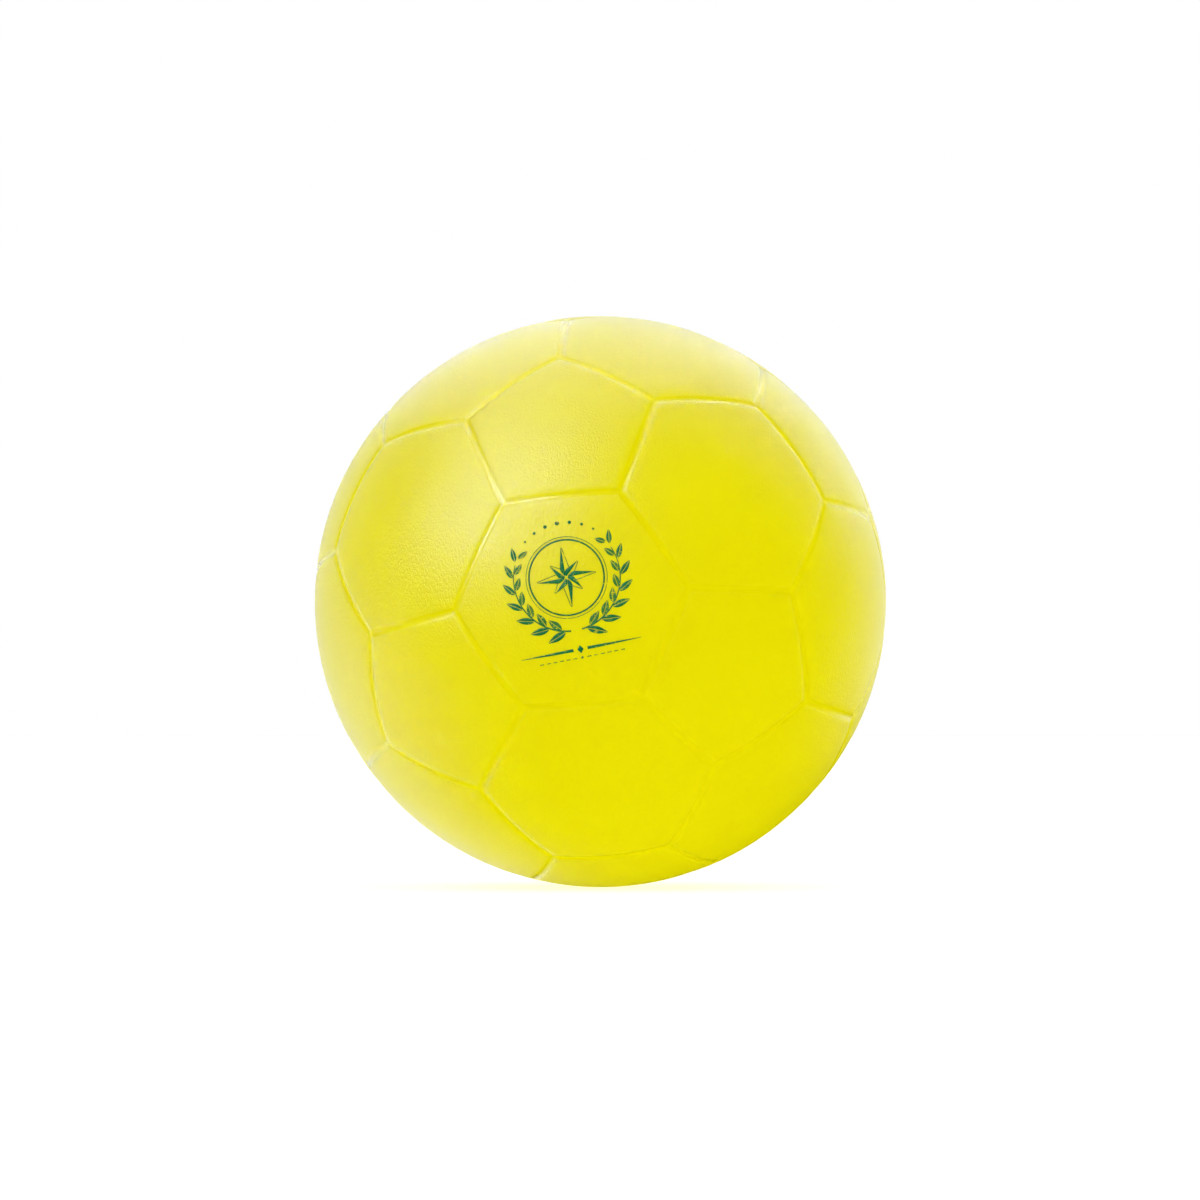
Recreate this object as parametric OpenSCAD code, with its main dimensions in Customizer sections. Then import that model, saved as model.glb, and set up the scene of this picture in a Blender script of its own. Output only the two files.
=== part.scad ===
// Soft moulded handball with a self-sealing needle valve.
// The origin is the centre of the ball and +Z is up. The print faces -Y and the valve lies on +Y.

/* [Ball] */
// Outer diameter of the ball when it is blown up
ball_d = 180; // [140:1:220]
// Thickness of the soft moulded skin
wall = 2.8; // [2.4:0.1:4]

/* [Seams] */
// Width of a moulded seam groove at the surface
seam_w = 3.4; // [2.4:0.1:4.4]
// Depth of a seam groove
seam_depth = 0.5; // [0.4:0.1:1]
// How much wider than a seam the dimple is where three seams meet
junction_spread = 2.2; // [1.6:0.1:3]
// How much deeper than a seam that dimple is
junction_extra = 0.35; // [0.3:0.05:0.5]

/* [Valve seat] */
// Diameter of the bush that is moulded into the skin
seat_d = 12; // [10.5:0.1:14]
// How far the bush stands into the ball, behind the skin
seat_reach = 8.5; // [7:0.5:12]
// Length of the taper at the inner end of the bush
seat_taper = 1.5; // [0.5:0.1:2.5]
// Diameter of the flange that ties the bush to the skin
flange_d = 24; // [18:1:32]
// Thickness of the flange at its rim
flange_t = 1.6; // [1:0.1:2.5]

/* [Valve plug] */
// Diameter of the round head that shows in the surface
head_d = 8; // [7:0.1:9]
// Thickness of the head
head_t = 1.6; // [1:0.1:2]
// Width of the rounded edge of the head, drawn as a bevel
head_edge = 0.3; // [0.1:0.1:0.5]
// How far the head lies below the top of the ball
head_sink = 0.6; // [0.3:0.1:0.9]
// Diameter of the shank in the bush
shank_d = 5; // [4.4:0.1:5.8]
// Diameter of the bulb that holds the plug behind the bush
bulb_d = 8; // [7:0.1:9]
// Length of the bulb
bulb_l = 4.5; // [3:0.1:6]
// Diameter of the bulb's blunt tip
bulb_tip_d = 4.4; // [3:0.1:6]

/* [Needle bore] */
// Diameter of the bore that takes an inflation needle
needle_bore_d = 2.2; // [2.1:0.1:2.6]
// Length of the straight wall of that bore
needle_bore_l = 7; // [5:0.5:8]
// Diameter of the lead-in at its mouth
lead_in_d = 3.6; // [3:0.1:4.2]
// Depth of the lead-in
lead_in_t = 0.8; // [0.5:0.1:1]

/* [Hidden] */
// Facets of a full circle where the model is drawn as a mesh
$fn = 180;
cutter_facets = 48;
// Cuts run past the faces that they open by this much
overrun = 1;
// Gap between the plug and the bush, which the soft rubber nearly closes
plug_gap = 0.05;
// Gap round the head in its recess
head_gap = 0.4;
// Share of the bulb's length that is straight before it tapers
bulb_straight_share = 0.35;
// Share of the room in a dimple by which the seams that meet there are cut short
seam_end_share = 0.92;

ball_r = ball_d / 2;
inner_r = ball_r - wall;

// A groove or a dimple is the lower part of a circle or ball that dips this deep over this width
function dip_radius(width, depth) = (width * width / 4 + depth * depth) / (2 * depth);
seam_r = dip_radius(seam_w, seam_depth);
junction_depth = seam_depth + junction_extra;
junction_r = dip_radius(seam_w + junction_spread, junction_depth);
// Length of seam floor that a dimple swallows
junction_room = sqrt(pow(junction_r, 2) - pow(junction_r - junction_extra, 2));
seam_end = junction_room * seam_end_share;

// Heights on the valve's axis, from the centre of the ball
seat_end = inner_r - seat_reach;
flange_back = sqrt(pow(inner_r, 2) - pow(flange_d / 2, 2)) - flange_t;
head_top = ball_r - head_sink;
head_back = head_top - head_t;
recess_floor = head_back - plug_gap;
bulb_top = seat_end - plug_gap;
bulb_end = bulb_top - bulb_l;
needle_end = head_top - lead_in_t - needle_bore_l;

// The seams run like the edges of a football's pattern: twelve five-sided panels among twenty six-sided.
// The middles of the five-sided panels are the corners of an icosahedron with a face square to Y.
near_share = sqrt((5 + 2 * sqrt(5)) / 15);
far_share = sqrt((5 - 2 * sqrt(5)) / 15);
// Turn of the pattern about Y, which sets how the front panel stands
pattern_turn = 95.7;
function unit(v) = v / norm(v);
function on_ball(y_share, turn) =
    let (ring_share = sqrt(1 - pow(y_share, 2)))
    [ring_share * cos(turn), y_share, ring_share * sin(turn)];
pentagons = [
    for (third = [0:120:240]) each [
        on_ball(-near_share, pattern_turn + third),
        on_ball(-far_share, pattern_turn + third - 60),
        on_ball(far_share, pattern_turn + third),
        on_ball(near_share, pattern_turn + third - 60)
    ]
];
// Neighbouring middles lie this far apart, as a cosine
pentagon_cosine = 1 / sqrt(5);
function same(a, b) = abs(a - b) < 0.01;
// Two corners of the pattern lie between each pair of neighbours, at a third and at two thirds
corners = [
    for (a = pentagons)
        for (b = pentagons)
            if (same(a * b, pentagon_cosine)) unit(2 * a + b)
];
// Corners joined by a seam are the nearest ones
seam_cosine = max([for (b = corners) if (norm(b - corners[0]) > 0.1) b * corners[0]]);
seams = [
    for (i = [0:len(corners) - 1])
        for (j = [i + 1:1:len(corners) - 1])
            if (same(corners[i] * corners[j], seam_cosine)) [corners[i], corners[j]]
];

// A round bar bent along the ball's surface from one corner of the pattern to the next
module seam_cutter(from, to) {
    side = unit(cross(from, to));
    ahead = cross(side, from);
    whole_turn = acos(from * to);
    end_turn = seam_end / ball_r * 180 / PI;
    multmatrix([
        [from.x, ahead.x, side.x, 0],
        [from.y, ahead.y, side.y, 0],
        [from.z, ahead.z, side.z, 0],
        [0, 0, 0, 1]
    ])
        rotate(end_turn)
            rotate_extrude(angle = whole_turn - 2 * end_turn, start = 0)
                translate([ball_r - seam_depth + seam_r, 0])
                    circle(r = seam_r, $fn = cutter_facets);
}

module junction_cutter(at) {
    translate(at * (ball_r - junction_depth + junction_r))
        sphere(r = junction_r, $fn = cutter_facets);
}

// Turns what is drawn along Z onto the valve's axis
module on_valve_axis() {
    rotate([-90, 0, 0]) children();
}

// From one height to another, along Z
module rod(d, low, high) {
    translate([0, 0, low]) cylinder(d = d, h = high - low);
}

// One hollow skin with its pattern moulded in and a hole for the valve's bush
module ball_skin() {
    color([0.91, 0.87, 0.02])
        difference() {
            sphere(r = ball_r);
            sphere(r = inner_r);
            on_valve_axis() rod(seat_d, inner_r - overrun, ball_r + overrun);
            for (s = seams) seam_cutter(s[0], s[1]);
            for (c = corners) junction_cutter(c);
        }
}

// The bush fills the hole in the skin, and its flange lies against the inside of the skin
module valve_seat() {
    color([0.93, 0.88, 0.3])
        on_valve_axis()
            difference() {
                union() {
                    intersection() {
                        sphere(r = ball_r);
                        rod(seat_d, seat_end + seat_taper, ball_r + overrun);
                    }
                    intersection() {
                        sphere(r = inner_r);
                        rod(flange_d, flange_back, ball_r);
                    }
                    translate([0, 0, seat_end])
                        cylinder(d1 = seat_d - seat_taper, d2 = seat_d, h = seat_taper);
                }
                rod(shank_d + 2 * plug_gap, seat_end - overrun, ball_r);
                rod(head_d + 2 * head_gap, recess_floor, ball_r + overrun);
            }
}

// One soft rubber plug, snapped in through the bush
module valve_plug() {
    head_r = head_d / 2;
    shank_r = shank_d / 2;
    bulb_r = bulb_d / 2;
    color([0.06, 0.06, 0.06])
        on_valve_axis()
            difference() {
                rotate_extrude()
                    polygon([
                        [0, head_top],
                        [head_r - head_edge, head_top],
                        [head_r, head_top - head_edge],
                        [head_r, head_back],
                        [shank_r, head_back],
                        [shank_r, bulb_top],
                        [bulb_r, bulb_top],
                        [bulb_r, bulb_top - bulb_l * bulb_straight_share],
                        [bulb_tip_d / 2, bulb_end],
                        [0, bulb_end]
                    ]);
                rod(needle_bore_d, needle_end, head_top + overrun);
                translate([0, 0, head_top - lead_in_t])
                    cylinder(d1 = needle_bore_d, d2 = lead_in_d, h = lead_in_t);
            }
}

ball_skin();
valve_seat();
valve_plug();
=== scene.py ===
import itertools
import math

import bmesh
import bpy
import numpy as np
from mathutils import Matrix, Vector


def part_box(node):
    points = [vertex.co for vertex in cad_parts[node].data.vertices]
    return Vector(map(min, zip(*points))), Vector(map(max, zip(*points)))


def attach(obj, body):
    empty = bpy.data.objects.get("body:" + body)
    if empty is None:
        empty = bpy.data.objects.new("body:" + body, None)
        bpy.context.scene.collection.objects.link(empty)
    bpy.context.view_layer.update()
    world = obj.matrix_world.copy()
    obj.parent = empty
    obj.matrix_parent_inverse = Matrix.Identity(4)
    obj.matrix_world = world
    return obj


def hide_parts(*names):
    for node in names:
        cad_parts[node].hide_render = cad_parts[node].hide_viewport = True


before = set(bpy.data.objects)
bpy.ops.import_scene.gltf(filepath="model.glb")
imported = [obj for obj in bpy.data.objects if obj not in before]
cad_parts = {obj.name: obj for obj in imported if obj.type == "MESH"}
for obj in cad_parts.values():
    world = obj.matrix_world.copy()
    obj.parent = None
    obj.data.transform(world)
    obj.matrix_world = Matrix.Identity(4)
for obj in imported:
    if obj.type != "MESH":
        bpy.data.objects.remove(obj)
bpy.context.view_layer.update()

mm = 0.001
tiny = 1e-6                   # mm, counts as nothing
scene = bpy.context.scene
skinLow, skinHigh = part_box("ball_skin")
ballRadius = (skinHigh.z - skinLow.z) / 2 / mm          # all mesh work below is in millimetres


# Camera

cameraView = {
    "distance": 2.7,          # metres: a long lens from far off, as the photo's flat outline asks for
    "azimuth": 6.15,          # degrees to the right of the print's axis
    "elevation": -0.46,       # degrees, a touch under the middle of the ball
    "ballShare": 571.6,       # width of the ball in the picture, in pixels
    "frameShare": 1200,       # width of the picture, in pixels
    "aim": (0.4, 1.6),        # pixels that the ball's middle lies right of and below the picture's
    "sensor": 36,             # mm
    "farthest": 100,          # metres that the camera sees
}


def cameraAxes(view):
    az = math.radians(view["azimuth"])
    el = math.radians(view["elevation"])
    toCamera = np.array([math.sin(az) * math.cos(el), -math.cos(az) * math.cos(el), math.sin(el)])
    right = np.array([math.cos(az), math.sin(az), 0.0])
    return toCamera, right, np.cross(toCamera, right)


def addCamera(view):
    toCamera, right, up = cameraAxes(view)
    eye = Vector(toCamera * view["distance"])
    data = bpy.data.cameras.new("camera")
    data.sensor_width = view["sensor"]
    # the outline of a ball is seen at the tangent, not at its middle
    spread = math.sqrt((view["distance"] / (ballRadius * mm)) ** 2 - 1)
    data.lens = data.sensor_width * view["ballShare"] / 2 / view["frameShare"] * spread
    data.shift_x = -view["aim"][0] / view["frameShare"]
    data.shift_y = view["aim"][1] / view["frameShare"]
    data.clip_end = view["farthest"]
    camera = bpy.data.objects.new("camera", data)
    camera.location = eye
    camera.rotation_euler = eye.to_track_quat("Z", "Y").to_euler()
    scene.collection.objects.link(camera)
    scene.camera = camera


addCamera(cameraView)
print("camera set")


# Small kit for materials

class Val:
    # one socket of a node tree; sums and products on it add their Math nodes
    def __init__(self, tree, socket=None):
        self.tree = tree
        self.socket = socket

    def make(self, kind, settings, values, out=0):
        node = self.tree.nodes.new("ShaderNode" + kind)
        for name, value in settings.items():
            setattr(node, name, value)
        for key, value in values.items():
            if isinstance(value, Val):
                self.tree.links.new(value.socket, node.inputs[key])
            else:
                node.inputs[key].default_value = value
        return Val(self.tree, node.outputs[out]) if node.outputs else None

    def math(self, operation, *values):
        return self.make("Math", {"operation": operation}, dict(enumerate(values)))

    def __add__(self, other):
        return self.math("ADD", self, other)

    def __radd__(self, other):
        return self.math("ADD", other, self)

    def __sub__(self, other):
        return self.math("SUBTRACT", self, other)

    def __rsub__(self, other):
        return self.math("SUBTRACT", other, self)

    def __mul__(self, other):
        return self.math("MULTIPLY", self, other)

    def __rmul__(self, other):
        return self.math("MULTIPLY", other, self)

    def __truediv__(self, other):
        return self.math("DIVIDE", self, other)

    def __rtruediv__(self, other):
        return self.math("DIVIDE", other, self)

    def root(self):
        return self.math("SQRT", self)

    def ramp(self, low, high):
        # 0 below low, 1 above high, smooth between
        settings = {"interpolation_type": "SMOOTHSTEP"}
        return self.make("MapRange", settings, {"Value": self, "From Min": low, "From Max": high})

    def mixColor(self, first, second):
        # this value takes first to second; sockets 6 and 7 and output 2 are the node's colours
        return self.make("Mix", {"data_type": "RGBA"}, {0: self, 6: first, 7: second}, 2)

    def moved(self, operation, *values):
        sockets = {0: self, **dict(enumerate(values, 1))}
        return self.make("VectorMath", {"operation": operation}, sockets)

    def scaled(self, factor):
        return self.make("VectorMath", {"operation": "SCALE"}, {0: self, 3: factor})

    def along(self, axis):
        return self.make("VectorMath", {"operation": "DOT_PRODUCT"}, {0: self, 1: axis}, "Value")


def makeMaterial(name, constants, build):
    material = bpy.data.materials.new(name)
    material.use_nodes = True
    material.node_tree.nodes.clear()
    kit = Val(material.node_tree)
    shader = kit.make("BsdfPrincipled", {}, {**constants, **build(kit)})
    kit.make("OutputMaterial", {}, {"Surface": shader})
    return material


def inMillimetres(kit):
    return kit.make("TexCoord", {}, {}, "Object").scaled(1 / mm)


def noise(place, scale, detail=2.0, out="Fac"):
    # scale is in waves to the millimetre
    return place.make("TexNoise", {}, {"Vector": place, "Scale": scale, "Detail": detail}, out)


def bumpOf(field, height):
    # height in millimetres
    return field.make("Bump", {}, {"Strength": 1.0, "Distance": height * mm, "Height": field})


# Seam pattern, the same as in the solid: twelve five-sided panels among twenty six-sided ones

pattern = {
    "turn": 95.7,             # degrees about Y, sets how the front panel stands
}

# cosine of the angle between the middles of two five-sided panels that are neighbours
neighbourCosine = 1 / math.sqrt(5)
closeEnough = 0.01            # cosines that differ by less count as equal


def unit(v):
    return v / np.linalg.norm(v, axis=-1, keepdims=True)


def fiveSidedMiddles(turn):
    # the corners of an icosahedron with a face square to Y
    near = math.sqrt((5 + 2 * math.sqrt(5)) / 15)
    far = math.sqrt((5 - 2 * math.sqrt(5)) / 15)

    def onBall(yShare, degrees):
        ring = math.sqrt(1 - yShare ** 2)
        a = math.radians(degrees)
        return np.array([ring * math.cos(a), yShare, ring * math.sin(a)])

    middles = []
    for third in (0, 120, 240):
        middles += [onBall(-near, turn + third), onBall(-far, turn + third - 60)]
        middles += [onBall(far, turn + third), onBall(near, turn + third - 60)]
    return middles


def axesRound(middle, corner):
    # two axes square to the middle, so that bearings round it can be measured
    first = unit(np.cross(middle, corner))
    return first, np.cross(middle, first)


def panelRound(middle, corners):
    first, second = axesRound(middle, corners[0])
    ordered = sorted(corners, key=lambda c: math.atan2(c @ second, c @ first))
    return {"middle": middle, "corners": ordered}


def makePanels():
    fives = fiveSidedMiddles(pattern["turn"])

    def isNear(a, b):
        return abs(a @ b - neighbourCosine) < closeEnough

    panels = [panelRound(a, [unit(2 * a + b) for b in fives if isNear(a, b)]) for a in fives]
    # a six-sided panel lies between each three that are all neighbours
    for a, b, c in itertools.combinations(fives, 3):
        if isNear(a, b) and isNear(b, c) and isNear(a, c):
            corners = [unit(2 * p + q) for p, q in itertools.permutations((a, b, c), 2)]
            panels.append(panelRound(unit(a + b + c), corners))
    return panels


def makeSeams(panels, digits=5):
    # each seam once, as its two ends
    seams = {}
    for panel in panels:
        ring = panel["corners"]
        for a, b in zip(ring, ring[1:] + ring[:1]):
            key = frozenset((tuple(np.round(a, digits)), tuple(np.round(b, digits))))
            seams.setdefault(key, (a, b))
    return np.array(list(seams.values()))


panels = makePanels()
seams = makeSeams(panels)
print("pattern worked out:", len(panels), "panels and", len(seams), "seams")


# Meshes are filled ring by ring

class Shell:
    def __init__(self):
        self.points = []
        self.notes = []
        self.faces = []
        self.count = 0

    def ring(self, points, notes=0.0):
        # notes go into the mesh's own attribute, one number to a point
        first = self.count
        self.points.append(points)
        self.notes.append(np.zeros(len(points)) + notes)
        self.count += len(points)
        return np.arange(first, self.count)

    def bridge(self, outer, inner):
        # the inner ring has as many points as the outer one, half as many, or one
        n, m = len(outer), len(inner)
        for j in range(m if m > 1 else n):
            k = (j + 1) % max(m, 2)
            if m == 1:
                self.faces.append((outer[j], outer[(j + 1) % n], inner[0]))
            elif n == m:
                self.faces.append((outer[j], outer[k], inner[k], inner[j]))
            else:
                a, b, c = outer[2 * j], outer[2 * j + 1], outer[(2 * j + 2) % n]
                self.faces += [(a, b, inner[j]), (b, inner[k], inner[j]), (b, c, inner[k])]

    def build(self, name, note=None, weld=0.0005):
        # weld is how near two points lie that become one, in mm
        mesh = bpy.data.meshes.new(name)
        points = np.concatenate(self.points) * mm
        mesh.from_pydata(points.tolist(), [], [tuple(map(int, f)) for f in self.faces])
        if note:
            values = mesh.attributes.new(note, "FLOAT", "POINT")
            values.data.foreach_set("value", np.concatenate(self.notes).astype(np.float32))
        bm = bmesh.new()
        bm.from_mesh(mesh)
        bmesh.ops.remove_doubles(bm, verts=bm.verts, dist=weld * mm)
        bmesh.ops.recalc_face_normals(bm, faces=bm.faces)
        bm.to_mesh(mesh)
        bm.free()
        mesh.polygons.foreach_set("use_smooth", [True] * len(mesh.polygons))
        piece = bpy.data.objects.new(name, mesh)
        scene.collection.objects.link(piece)
        return piece


# Skin of the ball: one thick shell with the seams moulded in

skinStyle = {
    "faceSink": 0.04,         # mm the panels lie under the solid's face, which leaves room for the ink
    "grooveDepth": 0.34,      # mm, the narrow groove
    "grooveSpread": 0.92,     # mm from its middle to its steepest wall
    "shoulderDepth": 0.1,     # mm, the soft roll-off on both sides
    "shoulderSpread": 2.6,    # mm, as for the groove
    "wall": 2.8,              # mm of vinyl
    "holeRadius": 6.0,        # mm, filled by the valve's seat
    "holeLip": 0.35,          # mm, rounded edge of that hole
    # mesh: points along one seam, how they crowd at its ends, and mm from the seam to each ring
    "pointsAlong": 24,
    "endCrowding": 0.6,
    "rings": [0, 0.2, 0.4, 0.6, 0.8, 1.0, 1.2, 1.45, 1.7, 2.0, 2.35, 2.75, 3.2, 3.8, 4.5, 5.5, 7,
              9.5, 12.5, 16, 20, 23.5, 27, 30],
    "halveAt": [9.5, 16],     # rings that have half as many points as the one before
    "fewestPoints": 30,       # rings with fewer aren't halved
    "smallestRing": 2.2,      # mm from a panel's middle
    "roundBelow": 0.35,       # rings are true circles below this share of the panel's size,
    "roundBlend": 0.5,        # and turn to the panel's outline over this share
    "innerPointsAlong": 12,
    "innerRings": [0, 5, 10, 16, 22, 28],
    # mm out from the hole's wall to each ring
    "lipRings": [3.0, 1.6, 0.9, 0.55, 0.35, 0.25, 0.15, 0.07, 0.02, 0],
    "lipRoom": 1.1,           # the panel's own rings stop at this share of the widest of them
}


def nearness(points, near, spread):
    # 1 on a seam, falling off smoothly on both sides; where seams meet the nearest one counts
    start, end = near[:, 0], near[:, 1]
    side = unit(np.cross(start, end))
    across = np.abs(np.arcsin(np.clip(points @ side.T, -1, 1)))
    between = (points @ np.cross(side, start).T > 0) & (points @ np.cross(end, side).T > 0)
    toEnds = np.arccos(np.clip(np.maximum(points @ start.T, points @ end.T), -1, 1))
    away = np.where(between, across, toEnds) * ballRadius
    return np.exp(-(away.min(axis=1) / spread) ** 2 / 2)


def outline(panel, count):
    # bearing and polar angle, seen from the panel's middle, of points along its seams
    middle, corners = panel["middle"], panel["corners"]
    first, second = axesRound(middle, corners[0])
    u = np.arange(count) / count
    crowd = skinStyle["endCrowding"]
    t = (1 - crowd) * u + crowd * (1 - np.cos(np.pi * u)) / 2
    rows = []
    for a, b in zip(corners, corners[1:] + corners[:1]):
        angle = math.acos(a @ b)
        row = np.outer(np.sin((1 - t) * angle), a) + np.outer(np.sin(t * angle), b)
        rows.append(row / math.sin(angle))
    points = np.concatenate(rows)
    bearing = np.arctan2(points @ second, points @ first)
    return bearing, np.arccos(points @ middle), first, second


def smooth(x):
    x = np.clip(x, 0, 1)
    return x * x * (3 - 2 * x)


def panelRings(panel, count, steps, hole):
    # rings of unit directions from the seams inwards, from the panel's outline to circles
    s = skinStyle
    bearing, polar, first, second = outline(panel, count)
    inner = polar.min() * ballRadius
    last = hole[0] * s["lipRoom"] if hole else s["smallestRing"]
    fewest = s["innerPointsAlong"] * len(panel["corners"]) if hole else s["fewestPoints"]
    rings = []
    for step in steps:
        if inner - step < last:
            break
        if step in s["halveAt"] and len(bearing) > fewest:
            bearing, polar = bearing[::2], polar[::2]
        share = 1 - step / inner
        keep = smooth((share - s["roundBelow"]) / s["roundBlend"])
        rings.append((bearing, share * (keep * polar + (1 - keep) * inner / ballRadius)))
    for away in hole:
        rings.append((bearing, np.full(len(bearing), math.asin(away / ballRadius))))
    result = []
    for bearing, polar in rings:
        flat = np.outer(np.cos(bearing), first) + np.outer(np.sin(bearing), second)
        ahead = np.outer(np.cos(polar), panel["middle"])
        result.append(ahead + np.sin(polar)[:, None] * flat)
    return result


def lipDrop(points):
    # how far the hole's rounded edge falls away from the ball's face
    lip = skinStyle["holeLip"]
    out = np.linalg.norm(points[:, [0, 2]], axis=1) * ballRadius - skinStyle["holeRadius"]
    return lip - np.sqrt(lip ** 2 - np.clip(lip - out, 0, lip) ** 2)


def makeSkin():
    s = skinStyle
    top = ballRadius - s["faceSink"]
    floor = ballRadius - s["wall"]
    shell = Shell()
    for panel in panels:
        hasValve = panel["middle"][1] > 1 - closeEnough
        hole = [s["holeRadius"] + r for r in s["lipRings"]] if hasValve else []
        cosines = np.einsum("sek,ck->sec", seams, np.array(panel["corners"]))
        near = seams[cosines.max(axis=(1, 2)) > 1 - closeEnough]    # seams that touch this panel
        outside = []
        for points in panelRings(panel, s["pointsAlong"], s["rings"], hole):
            groove = nearness(points, near, s["grooveSpread"])
            depth = s["grooveDepth"] * groove
            depth += s["shoulderDepth"] * nearness(points, near, s["shoulderSpread"])
            if hasValve:
                depth += lipDrop(points)
            outside.append(shell.ring(points * (top - depth)[:, None], groove))
        inside = []
        for points in panelRings(panel, s["innerPointsAlong"], s["innerRings"], hole[-1:]):
            inside.append(shell.ring(points * floor))
        for layer, radius in ((outside, top), (inside, floor)):
            if not hasValve:
                layer.append(shell.ring(panel["middle"][None] * radius))
            for outer, inner in zip(layer, layer[1:]):
                shell.bridge(outer, inner)
        if hasValve:
            shell.bridge(outside[-1], inside[-1])
    return shell.build("moulded_skin", "groove")


skin = makeSkin()
print("skin made:", len(skin.data.vertices), "points")


# Valve: a seat of vinyl in the skin's hole and a rubber plug in it, both turned about Y

seatStyle = {
    # of each corner: mm from the valve's axis, mm below the ball's top there, and mm of rounding
    "profile": [
        (2.55, 2.25, 0.12), (2.55, 11.30, 0.25), (5.25, 11.30, 0.35), (5.95, 9.80, 0.8),
        (5.95, 5.23, 0.7), (12.0, 5.23, 0.5), (12.0, 3.67, 0.3), (10.0, 3.40, 0),
        (8.0, 3.19, 0), (5.95, 3.03, 0), (5.95, 0.24, 0.3), (4.40, 0.15, 0.3),
        (4.40, 2.25, 0.2),
    ],
    "steps": 96,
}

plugStyle = {
    # as for the seat
    "profile": [
        (0, 8.40, 0), (1.10, 8.40, 0.3), (1.10, 1.45, 0.5), (1.75, 0.60, 0.25),
        (2.55, 0.60, 0.12), (2.75, 0.72, 0.1), (3.0, 0.72, 0.1), (3.2, 0.60, 0.12),
        (4.00, 0.60, 0.4), (4.00, 2.20, 0.3), (2.50, 2.20, 0.15), (2.50, 11.35, 0.15),
        (4.00, 11.35, 0.3), (4.00, 12.93, 0.9), (2.20, 15.85, 0.7), (0, 15.85, 0),
    ],
    "steps": 72,
}


def rounded(corners, closed, arcSteps=6):
    # each corner becomes an arc of the radius given with it
    points = []
    n = len(corners)
    for i, (r, depth, radius) in enumerate(corners):
        here = np.array([r, depth])
        if radius == 0 or (not closed and i in (0, n - 1)):
            points.append(here)
            continue
        before = unit(np.array(corners[i - 1][:2]) - here)
        after = unit(np.array(corners[(i + 1) % n][:2]) - here)
        half = math.acos(np.clip(before @ after, -1, 1)) / 2
        middle = here + unit(before + after) * radius / math.sin(half)
        start = here + before * radius / math.tan(half)
        end = here + after * radius / math.tan(half)
        for j in range(arcSteps + 1):
            way = (start - middle) * (1 - j / arcSteps) + (end - middle) * j / arcSteps
            points.append(middle + unit(way) * radius)
    return points


def turned(name, style):
    closed = style["profile"][0][0] > 0
    shell = Shell()
    a = np.arange(style["steps"]) * 2 * np.pi / style["steps"]
    rings = []
    for r, depth in rounded(style["profile"], closed):
        around = np.stack([r * np.cos(a), np.full(len(a), ballRadius - depth), r * np.sin(a)], axis=1)
        rings.append(shell.ring(around if r > tiny else around[:1]))
    for outer, inner in zip(rings, rings[1:] + (rings[:1] if closed else [])):
        if len(outer) == 1:
            outer, inner = inner, outer
        shell.bridge(outer, inner)
    return shell.build(name)


seat = turned("vinyl_valve_seat", seatStyle)
plug = turned("rubber_valve_plug", plugStyle)
print("valve made")


# Print on the front panel: a film of ink that follows the ball

printStyle = {
    "tilt": 11,               # degrees, rising to the right
    "middle": (-0.8, 6.7),    # mm right and up of the front panel's middle
    "filmTop": 0.03,          # mm the ink stands proud of the skin
    "filmBack": 0.08,         # mm its underside lies in the skin
    "step": 0.5,              # mm between points of the film
    "hairline": 0.05,         # mm, the thinnest that a filled shape tapers to
    # star; shares are of a point's length, and every other point is shorter
    "starPoints": 8,
    "starRadius": 9.5,
    "shortPoint": 0.66,
    "starWaist": 1.45,        # mm either side of a point's middle line
    "widestAt": 0.26,
    "filledFrom": 0.06,
    "filledTo": 0.98,
    "pointGap": 0.08,         # mm left bare along the middle line
    "starEdge": 0.22,         # mm, the line along the half that isn't filled
    "edgeTo": 0.97,
    "edgeOff": 0.12,          # mm between that line's end and the middle line
    # two rings round it: radius and line width in mm, and which ink
    "rings": [(11.6, 0.5, "ring"), (12.55, 0.2, "thinRing")],
    # sprays of leaves on both sides; bearings in degrees up from level
    "sprayRadius": 16.5,
    "stemFrom": -84,
    "stemTo": 24,
    "stemWidths": (0.5, 0.22),
    "leavesFrom": -78,
    "leavesTo": 28,
    "sprayLeaves": 7,
    "leafShrink": 0.05,       # share by which each leaf is smaller than the one below
    "leafLength": 6.2,
    "leafWidth": 2.1,
    "leafGap": 0.09,          # mm left bare either side of a leaf's rib
    "leafTurn": 34,           # degrees between a leaf and the stem
    "leafRoot": 0.35,         # mm from the stem's middle to a leaf's root
    "innerLead": 4,           # degrees that the inner leaves sit ahead of the outer ones
    "innerLength": 0.8,       # share of the outer leaves' length
    # arc of dots over the star
    "dots": 7,
    "dotBearing": 13,         # degrees between two dots
    "dotLift": 0.6,           # mm outside the sprays' radius
    "dotRadius": 0.62,
    "dotShrink": 0.09,        # mm that each is smaller than the one nearer the top
    # tapered rule with a diamond at its middle
    "ruleLength": 38.0,
    "ruleDrop": 22.4,         # mm under the star
    "ruleGap": 2.2,           # mm from its middle to where it starts
    "ruleWidths": [0.9, 0.75, 0.45, 0.12],
    "diamondHalf": 1.25,
    "diamondWidths": [1.9, 0.9, 0.04],
    # dashes and a bead under it
    "dashDrop": 2.6,          # mm under the rule
    "dashes": 6,
    "dashFrom": 1.6,
    "dashEvery": 2.1,
    "dashLength": 1.3,
    "dashWidth": 0.3,
    "beadRadius": 0.42,
    # how heavy the ink is, 1 at most
    "ink": {"star": 1.0, "starEdge": 0.7, "ring": 0.95, "thinRing": 0.65, "stem": 0.9,
            "outerLeaf": 0.95, "innerLeaf": 0.75, "dot": 0.9, "rule": 1.0, "dash": 0.55, "bead": 0.7},
}


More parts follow.
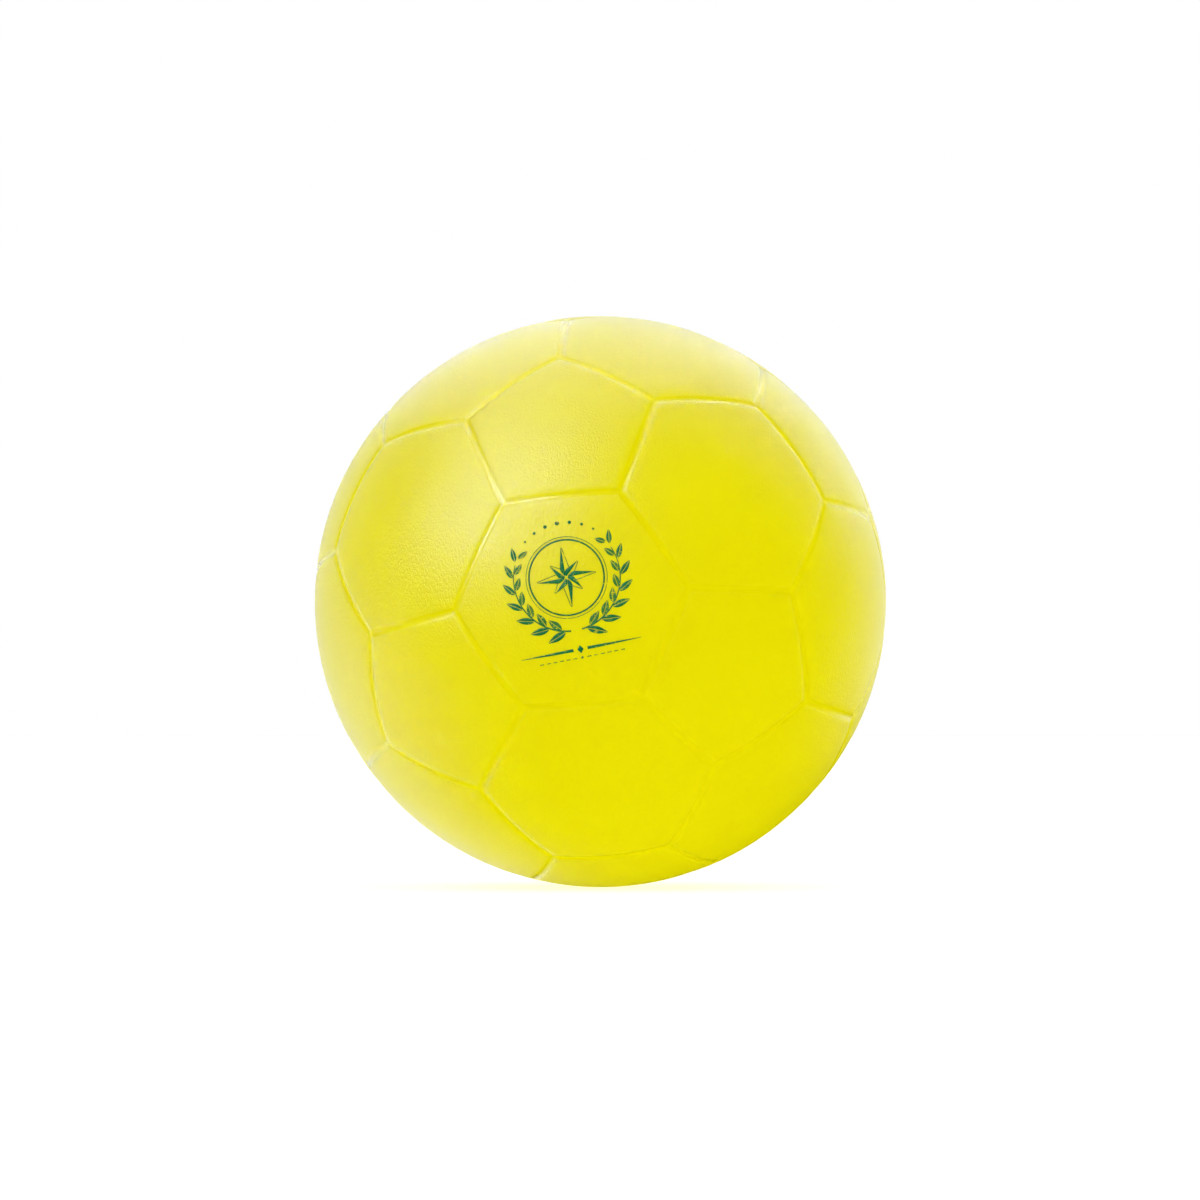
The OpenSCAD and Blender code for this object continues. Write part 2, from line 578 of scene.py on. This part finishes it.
def turnedBy(points, degrees):
    a = math.radians(degrees)
    return np.asarray(points) @ np.array([[math.cos(a), math.sin(a)], [-math.sin(a), math.cos(a)]])


class Film:
    def __init__(self):
        self.shell = Shell()
        self.middle = np.array([0.0, -1.0, 0.0])
        self.skinTop = ballRadius - skinStyle["faceSink"]

    def onBall(self, flat, lift):
        # distances from the print's middle are kept along the ball
        flat = turnedBy(flat, printStyle["tilt"]) + np.array(printStyle["middle"])
        reach = np.linalg.norm(flat, axis=1)
        way = flat / np.maximum(reach, tiny)[:, None]
        angle = reach / ballRadius
        sideways = np.stack([way[:, 0], np.zeros(len(way)), way[:, 1]], axis=1)
        ahead = np.cos(angle)[:, None] * self.middle + np.sin(angle)[:, None] * sideways
        return ahead * (self.skinTop + lift)

    def ribbon(self, path, widths, ink, closed=False):
        # a stroke along the path; widths is its full width, one number or one to a point
        path = np.asarray(path, dtype=float)
        if closed:
            ahead = np.roll(path, -1, axis=0) - np.roll(path, 1, axis=0)
        else:
            ahead = np.gradient(path, axis=0)
        ahead = unit(ahead)
        widths = (np.zeros(len(path)) + widths)[:, None]
        half = np.stack([-ahead[:, 1], ahead[:, 0]], axis=1) * widths / 2
        top, back = printStyle["filmTop"], -printStyle["filmBack"]
        corners = [self.onBall(path + half, top), self.onBall(path - half, top)]
        corners += [self.onBall(path - half, back), self.onBall(path + half, back)]
        weight = printStyle["ink"][ink]
        rings = [self.shell.ring(section, weight) for section in np.stack(corners, axis=1)]
        for one, two in zip(rings, rings[1:] + (rings[:1] if closed else [])):
            self.shell.bridge(one, two)
        if not closed:
            self.shell.faces += [tuple(rings[0]), tuple(rings[-1])]

    def line(self, start, end, widths, ink):
        start, end = np.array(start, float), np.array(end, float)
        steps = max(2, int(np.linalg.norm(end - start) / printStyle["step"]) + 1)
        t = np.linspace(0, 1, steps)
        if np.ndim(widths):
            widths = np.interp(t, np.linspace(0, 1, len(widths)), widths)
        self.ribbon(start + np.outer(t, end - start), widths, ink)

    def circle(self, radius, width, ink, fewest=24):
        steps = max(fewest, int(radius * 2 * np.pi / printStyle["step"]))
        a = np.linspace(0, 2 * np.pi, steps, endpoint=False)
        self.ribbon(np.stack([np.cos(a), np.sin(a)], axis=1) * radius, width, ink, closed=True)

    def dot(self, middle, radius, ink, steps=13, thinnest=0.03):
        t = np.cos(np.linspace(np.pi, 0, steps))
        path = np.stack([t * radius, np.zeros(steps)], axis=1) + np.array(middle)
        self.ribbon(path, np.maximum(2 * radius * np.sqrt(1 - t ** 2), thinnest), ink)

    def leaf(self, root, degrees, length, width, ink, steps=14, fullness=0.8):
        # a filled leaf with a gap along its rib: two halves, each bowed outwards
        t = np.linspace(0, 1, steps)
        bow = np.sin(np.pi * t ** fullness) * width / 2
        for side in (1, -1):
            flat = np.stack([t * length, side * (bow / 2 + printStyle["leafGap"])], axis=1)
            path = turnedBy(flat, degrees) + np.array(root)
            self.ribbon(path, np.maximum(bow, printStyle["hairline"]), ink)


def atBearing(degrees, radius, side=1):
    a = np.radians(degrees)
    return np.stack([side * np.cos(a), np.sin(a)], axis=-1) * radius


def drawStar(film, p, steps=18):
    # each point is filled on one side and drawn as a line on the other
    t = np.linspace(p["filledFrom"], p["filledTo"], steps)
    widest = p["widestAt"]
    fill = np.minimum(t / widest, (1 - t) / (1 - widest)) * p["starWaist"]
    for i in range(p["starPoints"]):
        tip = p["starRadius"] * (1 if i % 2 == 0 else p["shortPoint"])
        turn = 90 + 360 * i / p["starPoints"]
        half = np.stack([t * tip, fill / 2 + p["pointGap"]], axis=1)
        film.ribbon(turnedBy(half, turn), np.maximum(fill, p["hairline"]), "star")
        edge = [(widest * tip, -p["starWaist"]), (p["edgeTo"] * tip, -p["edgeOff"])]
        film.line(*turnedBy(edge, turn), p["starEdge"], "starEdge")


def drawSprays(film, p, stemSteps=60):
    low, high = p["stemWidths"]
    bearings = np.linspace(p["leavesFrom"], p["leavesTo"], p["sprayLeaves"])
    for side in (1, -1):
        stem = atBearing(np.linspace(p["stemFrom"], p["stemTo"], stemSteps), p["sprayRadius"], side)
        film.ribbon(stem, np.linspace(low, high, stemSteps), "stem")
        for j, bearing in enumerate(bearings):
            size = 1 - p["leafShrink"] * j
            for way, ink in ((1, "innerLeaf"), (-1, "outerLeaf")):
                inner = way > 0
                radius = p["sprayRadius"] - way * p["leafRoot"]
                root = atBearing(bearing + (p["innerLead"] if inner else 0), radius, side)
                heading = bearing + 90 + way * p["leafTurn"]
                heading = heading if side > 0 else 180 - heading
                length = p["leafLength"] * size * (p["innerLength"] if inner else 1.0)
                film.leaf(root, heading, length, p["leafWidth"] * size, ink)


def drawRule(film, p):
    drop = -p["ruleDrop"]
    t = np.linspace(-1, 1, 5)
    diamond = np.stack([0 * t, drop + p["diamondHalf"] * t], axis=1)
    film.ribbon(diamond, np.interp(np.abs(t), [0, 0.5, 1], p["diamondWidths"]), "rule")
    low = drop - p["dashDrop"]
    for side in (1, -1):
        ends = [(side * p["ruleGap"], drop), (side * p["ruleLength"] / 2, drop)]
        film.line(*ends, p["ruleWidths"], "rule")
        for j in range(p["dashes"]):
            start = p["dashFrom"] + p["dashEvery"] * j
            ends = [(side * start, low), (side * (start + p["dashLength"]), low)]
            film.line(*ends, p["dashWidth"], "dash")
    film.dot((0, low), p["beadRadius"], "bead")


def makePrint():
    p = printStyle
    film = Film()
    drawStar(film, p)
    for radius, width, ink in p["rings"]:
        film.circle(radius, width, ink)
    drawSprays(film, p)
    for i in range(p["dots"]):
        off = i - p["dots"] // 2
        middle = atBearing(90 + p["dotBearing"] * off, p["sprayRadius"] + p["dotLift"])
        film.dot(middle, p["dotRadius"] - p["dotShrink"] * abs(off), "dot")
    drawRule(film, p)
    return film.shell.build("front_print", "ink")


frontPrint = makePrint()
print("print made:", len(frontPrint.data.vertices), "points")


# Vinyl: saturated yellow, satin, with a fine leather grain from the mould

vinylLook = {
    # waves are waves to the mm; edges are where a pattern starts to show and where it shows in full
    "color": (0.885, 0.805, 0.001, 1),
    "deepColor": (0.840, 0.745, 0.000, 1),    # in slow clouds over the panels
    "deepShare": 0.3,
    "cloudWaves": 0.035,
    "cloudEdges": (0.35, 0.7),
    "paleColor": (0.885, 0.825, 0.030, 1),    # in specks, where the skin is rubbed
    "paleShare": 0.12,
    "speckWaves": 1.4,
    "speckEdges": (0.55, 0.8),
    "roughness": 0.31,
    "speckRoughness": 0.03,   # that the specks add
    "roughnessDrift": 0.05,   # how much it changes slowly over the ball
    "driftWaves": 0.06,
    "grooveRoughness": 0.2,   # the mould's ribs are smooth
    "grooveSmoothing": 0.8,   # share of the grain that they take away
    "grooveEdges": (0.25, 0.85),
    # grain: pebbles of two sizes with noise between them
    "grainHeight": 0.08,      # mm
    "grainSize": 0.9,         # mm across a coarse pebble
    "grainFiner": 2.3,        # fine pebbles are so many times smaller
    "grainScatter": 0.9,      # 0 is a grid
    "grainStretch": (1.0, 1.0, 0.38),         # the pebbles are taller than wide
    "coarseEdges": (-0.02, 0.34),
    "fineEdges": (-0.02, 0.36),
    "grainWaves": 1.9,
    "grainShares": (0.6, 0.3, 0.36),          # of the coarse pebbles, the fine ones and the noise
    # waves of the two noises that bend the grain, and how far in mm
    "grainBend": (0.11, 2.4),
    "grainRipple": (0.9, 0.9),
    "translucency": 0.6,
    "translucentDepth": 0.0015,               # metres
}


def grain(place):
    # pebbles with narrow valleys between them
    look = vinylLook

    def swing(waves, reach):
        # noise about zero in all three directions
        return noise(place, waves, 1.0, "Color").moved("SUBTRACT", (0.5, 0.5, 0.5)).scaled(reach)

    bend = swing(*look["grainBend"])
    ripple = swing(*look["grainRipple"])
    bent = place.moved("ADD", bend).moved("ADD", ripple)
    bent = bent.moved("MULTIPLY", look["grainStretch"])

    def pebbles(finer, edges):
        values = {"Vector": bent, "Scale": finer / look["grainSize"], "Randomness": look["grainScatter"]}
        return bent.make("TexVoronoi", {"feature": "DISTANCE_TO_EDGE"}, values).ramp(*edges)

    coarse = pebbles(1, look["coarseEdges"])
    fine = pebbles(look["grainFiner"], look["fineEdges"])
    coarseShare, fineShare, noiseShare = look["grainShares"]
    return coarse * coarseShare + fine * fineShare + noise(place, look["grainWaves"], 3.0) * noiseShare


def vinyl(kit):
    look = vinylLook
    place = inMillimetres(kit)
    groove = kit.make("Attribute", {"attribute_name": "groove"}, {}, "Fac")
    clouds = noise(place, look["cloudWaves"], 3.0).ramp(*look["cloudEdges"])
    specks = noise(place, look["speckWaves"]).ramp(*look["speckEdges"])
    color = (clouds * look["deepShare"]).mixColor(look["color"], look["deepColor"])
    color = (specks * look["paleShare"]).mixColor(color, look["paleColor"])
    smoothed = groove.ramp(*look["grooveEdges"])
    drift = (noise(place, look["driftWaves"]) - 0.5) * look["roughnessDrift"]
    rough = look["roughness"] + drift + specks * look["speckRoughness"]
    rough = rough - smoothed * (look["roughness"] - look["grooveRoughness"])
    shownGrain = 1 - smoothed * look["grooveSmoothing"]
    bump = bumpOf(grain(place) * shownGrain, look["grainHeight"])
    return {"Base Color": color, "Roughness": rough, "Normal": bump}


skinConstants = {
    "IOR": 1.5,
    "Specular Tint": (0.72, 0.77, 1.0, 1),    # keeps the highlight pale instead of lemon
    "Subsurface Weight": vinylLook["translucency"],
    "Subsurface Radius": (1.0, 1.0, 0.3),
    "Subsurface Scale": vinylLook["translucentDepth"],
}
skin.data.materials.append(makeMaterial("moulded_vinyl", skinConstants, vinyl))


# Ink: dark green, thinner on fine lines, broken in small worn holes and patches where the vinyl shows

inkLook = {
    "color": (0.003, 0.160, 0.040, 1),
    "thinColor": (0.120, 0.270, 0.010, 1),
    "thinEdges": (0.4, 1.0),  # weights of ink between which the colour turns from thin to full
    "freshColor": (0.006, 0.200, 0.085, 1),   # in patches
    "freshShare": 0.35,
    "patchWaves": 0.55,
    "patchEdges": (0.35, 0.7),
    "bareShare": 0.85,        # how much of the vinyl shows where the ink is worn
    "holeWaves": 2.6,
    "wearShares": (0.6, 0.4, 0.1),            # of holes, of patches, and what the ink's weight takes off
    "wearEdges": (0.47, 0.58),
    "roughness": 0.55,
    "bareGloss": 0.05,        # roughness that a bare place lacks
    "grainShare": 0.9,        # of the vinyl's grain that shows through the film
}


def greenInk(kit):
    look = inkLook
    place = inMillimetres(kit)
    weight = kit.make("Attribute", {"attribute_name": "ink"}, {}, "Fac")
    patches = noise(place, look["patchWaves"], 3.0)
    holes = noise(place, look["holeWaves"])
    holeShare, patchShare, weightShare = look["wearShares"]
    wear = holes * holeShare + patches * patchShare - weight * weightShare
    bare = wear.ramp(*look["wearEdges"])
    fresh = look["freshShare"]
    color = weight.ramp(*look["thinEdges"]).mixColor(look["thinColor"], look["color"])
    color = (patches.ramp(*look["patchEdges"]) * fresh).mixColor(color, look["freshColor"])
    color = (bare * look["bareShare"]).mixColor(color, vinylLook["color"])
    rough = look["roughness"] - bare * look["bareGloss"]
    bump = bumpOf(grain(place), vinylLook["grainHeight"] * look["grainShare"])
    return {"Base Color": color, "Roughness": rough, "Normal": bump}


frontPrint.data.materials.append(makeMaterial("printed_ink", {"IOR": 1.4}, greenInk))


# Seat: the skin's vinyl, a little paler and without grain

seatLook = {
    "color": (0.84, 0.755, 0.030, 1),
    "paleColor": (0.88, 0.82, 0.110, 1),
    "paleWaves": 0.25,
    "paleEdges": (0.3, 0.75),
    "roughness": 0.38,
    "roughnessDrift": 0.12,
    "driftWaves": 0.8,
    "texture": 0.02,          # mm
    "textureWaves": 2.2,
}


def seatVinyl(kit):
    look = seatLook
    place = inMillimetres(kit)
    pale = noise(place, look["paleWaves"], 3.0).ramp(*look["paleEdges"])
    color = pale.mixColor(look["color"], look["paleColor"])
    rough = look["roughness"] + (noise(place, look["driftWaves"]) - 0.5) * look["roughnessDrift"]
    bump = bumpOf(noise(place, look["textureWaves"], 3.0), look["texture"])
    return {"Base Color": color, "Roughness": rough, "Normal": bump}


seat.data.materials.append(makeMaterial("seat_vinyl", {"IOR": 1.5}, seatVinyl))


# Plug: black rubber, matt, with talc left in its fine texture

plugLook = {
    "color": (0.012, 0.012, 0.013, 1),
    "talcColor": (0.075, 0.073, 0.068, 1),
    "talcShare": 0.5,
    "talcWaves": (0.7, 4.0),  # of its patches and its grains
    "talcMix": (0.6, 0.4),    # shares of the two
    "talcEdges": (0.5, 0.68),
    "roughness": 0.62,
    "talcRoughness": 0.2,     # that the talc adds
    "texture": 0.03,          # mm
    "textureWaves": 3.2,
}


def rubber(kit):
    look = plugLook
    place = inMillimetres(kit)
    patchWaves, grainWaves = look["talcWaves"]
    patchShare, grainShare = look["talcMix"]
    talc = noise(place, patchWaves, 4.0) * patchShare + noise(place, grainWaves) * grainShare
    talc = talc.ramp(*look["talcEdges"])
    color = (talc * look["talcShare"]).mixColor(look["color"], look["talcColor"])
    rough = look["roughness"] + talc * look["talcRoughness"]
    bump = bumpOf(noise(place, look["textureWaves"], 3.0), look["texture"])
    return {"Base Color": color, "Roughness": rough, "Normal": bump}


plug.data.materials.append(makeMaterial("plug_rubber", {"IOR": 1.5}, rubber))
print("materials made")


# Each piece takes the place of its solid and rides on the ball

for piece, node, slot in (
    (skin, "ball_skin", "vinyl_skin"),
    (seat, "valve_seat", "vinyl_seat"),
    (plug, "valve_plug", "valve_rubber"),
    (frontPrint, None, "print_ink"),
):
    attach(piece, "root")
    if node:
        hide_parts(node)


# Floor, a white sheet that the ball rests on

white = (1, 1, 1, 1)

floorStyle = {
    "width": 12.0,            # metres
    "color": (0.60, 0.60, 0.60, 1),
    "ownLight": 0.65,         # for the camera alone, so that the sheet is as white as the backdrop
}


def makeFloor():
    half = floorStyle["width"] / 2
    mesh = bpy.data.meshes.new("white_sheet")
    low = skinLow.z
    corners = [(-half, -half, low), (half, -half, low), (half, half, low), (-half, half, low)]
    mesh.from_pydata(corners, [], [(0, 1, 2, 3)])
    floor = bpy.data.objects.new("white_sheet", mesh)
    scene.collection.objects.link(floor)
    material = bpy.data.materials.new("white_sheet")
    material.use_nodes = True
    material.node_tree.nodes.clear()
    kit = Val(material.node_tree)
    matt = kit.make("BsdfDiffuse", {}, {"Color": floorStyle["color"]})
    seen = kit.make("LightPath", {}, {}, "Is Camera Ray")
    glow = kit.make("Emission", {}, {"Color": white, "Strength": seen * floorStyle["ownLight"]})
    kit.make("OutputMaterial", {}, {"Surface": kit.make("AddShader", {}, {0: matt, 1: glow})})
    mesh.materials.append(material)
    # the ball is lit from below as by a light table
    floor.visible_diffuse = False
    floor.visible_glossy = False
    floor.visible_shadow = False


makeFloor()


# Light: a tent behind the ball, wide lamps that light it evenly and soft boxes that only reflect

lightStyle = {
    "level": 0.94,                        # of the even light that colours are seen by
    "levelTilt": (-0.002, 0.013, 0.034),  # how that light leans right, up and towards the camera
    "tiltGain": 1.7,                      # change of one lamp that leans the light by 1
    "evenWidth": 100,                     # degrees that each of its six lamps spans
    "evenOverlap": 0.933,                 # takes off what the six of them overlap
    "glossTint": (0.71, 0.78, 1.0, 1),    # of what only shows in reflections, a little cool
    # degrees from the camera's axis, degrees round it from the right, degrees across, brightness
    "fill": (126, -68, 90, 0.54),         # soft lamp below and behind, for the lower rim
    "boxes": [(59, 144, 52, 3.5), (62, 149, 14, 18.9), (61, 117, 14, 16.5), (81, 122, 41, 2.1),
              (105, 100, 66, 1.4), (133, 91, 64, 0.65), (144, 114, 27, 0.7), (130, 47, 54, 0.9),
              (111, 203, 54, 1.1)],
    "tentBehind": 1.2,                    # brightness of the tent in reflections, behind the ball
    "tentEdge": (-0.45, -0.85),           # cosines off the camera's axis that it fades in between
    "tentGap": -65,                       # bearing at which it is open, in degrees from the right
    "gapEdge": (0.88, 0.6),               # cosines off that bearing that it closes between
}


def addLamp(name, aim, width, glow, onlyReflects):
    # a round patch of sky, which is glow bright itself
    spread = math.radians(width / 2)
    data = bpy.data.lights.new(name, "SUN")
    data.angle = 2 * spread
    data.energy = glow * math.pi * math.sin(spread) ** 2
    data.color = lightStyle["glossTint"][:3] if onlyReflects else white[:3]
    # sampled plainly, so that the two switches below hold
    data.cycles.use_multiple_importance_sampling = False
    lamp = bpy.data.objects.new(name, data)
    lamp.visible_diffuse = not onlyReflects
    lamp.visible_glossy = onlyReflects
    lamp.rotation_euler = Vector(aim).to_track_quat("Z", "Y").to_euler()
    scene.collection.objects.link(lamp)


def makeTent(toCamera, right, up):
    s = lightStyle
    world = bpy.data.worlds.new("tent")
    world.use_nodes = True
    world.cycles.sampling_method = "NONE"
    world.node_tree.nodes.clear()
    kit = Val(world.node_tree)
    way = kit.make("TexCoord", {}, {}, "Generated")
    ahead = way.along(tuple(toCamera))
    gap = math.radians(s["tentGap"])
    toGap = way.along(tuple(math.cos(gap) * right + math.sin(gap) * up))
    aside = toGap / (1 - ahead * ahead).root()
    behind = ahead.ramp(*s["tentEdge"]) * aside.ramp(*s["gapEdge"])
    camera = kit.make("LightPath", {}, {}, "Is Camera Ray")
    clear = kit.make("LightPath", {}, {}, "Is Transmission Ray")
    glossy = kit.make("LightPath", {}, {}, "Is Glossy Ray")
    # white to the camera and through clear things; in reflections only the tent shows
    strength = kit.math("MAXIMUM", camera, clear) + glossy * behind * s["tentBehind"]
    color = glossy.mixColor(white, s["glossTint"])
    backdrop = kit.make("Background", {}, {"Color": color, "Strength": strength})
    kit.make("OutputWorld", {}, {"Surface": backdrop})
    scene.world = world


def makeLight():
    s = lightStyle
    toCamera, right, up = cameraAxes(cameraView)
    makeTent(toCamera, right, up)
    glow = s["level"] * s["evenOverlap"]
    pairs = (("side", right), ("height", up), ("depth", toCamera))
    for (name, axis), tilt in zip(pairs, s["levelTilt"]):
        for end, way in (("plus", 1), ("minus", -1)):
            lean = way * tilt * s["tiltGain"]
            addLamp("even_" + name + "_" + end, axis * way, s["evenWidth"], glow + lean, False)

    def aimed(off, bearing):
        a, b = math.radians(off), math.radians(bearing)
        return math.cos(a) * toCamera + math.sin(a) * (math.cos(b) * right + math.sin(b) * up)

    off, bearing, width, glow = s["fill"]
    addLamp("fill", aimed(off, bearing), width, glow, False)
    for i, (off, bearing, width, glow) in enumerate(s["boxes"], 1):
        addLamp("soft_box_" + str(i), aimed(off, bearing), width, glow, True)


makeLight()
scene.view_settings.view_transform = "Standard"
print("floor and light set")
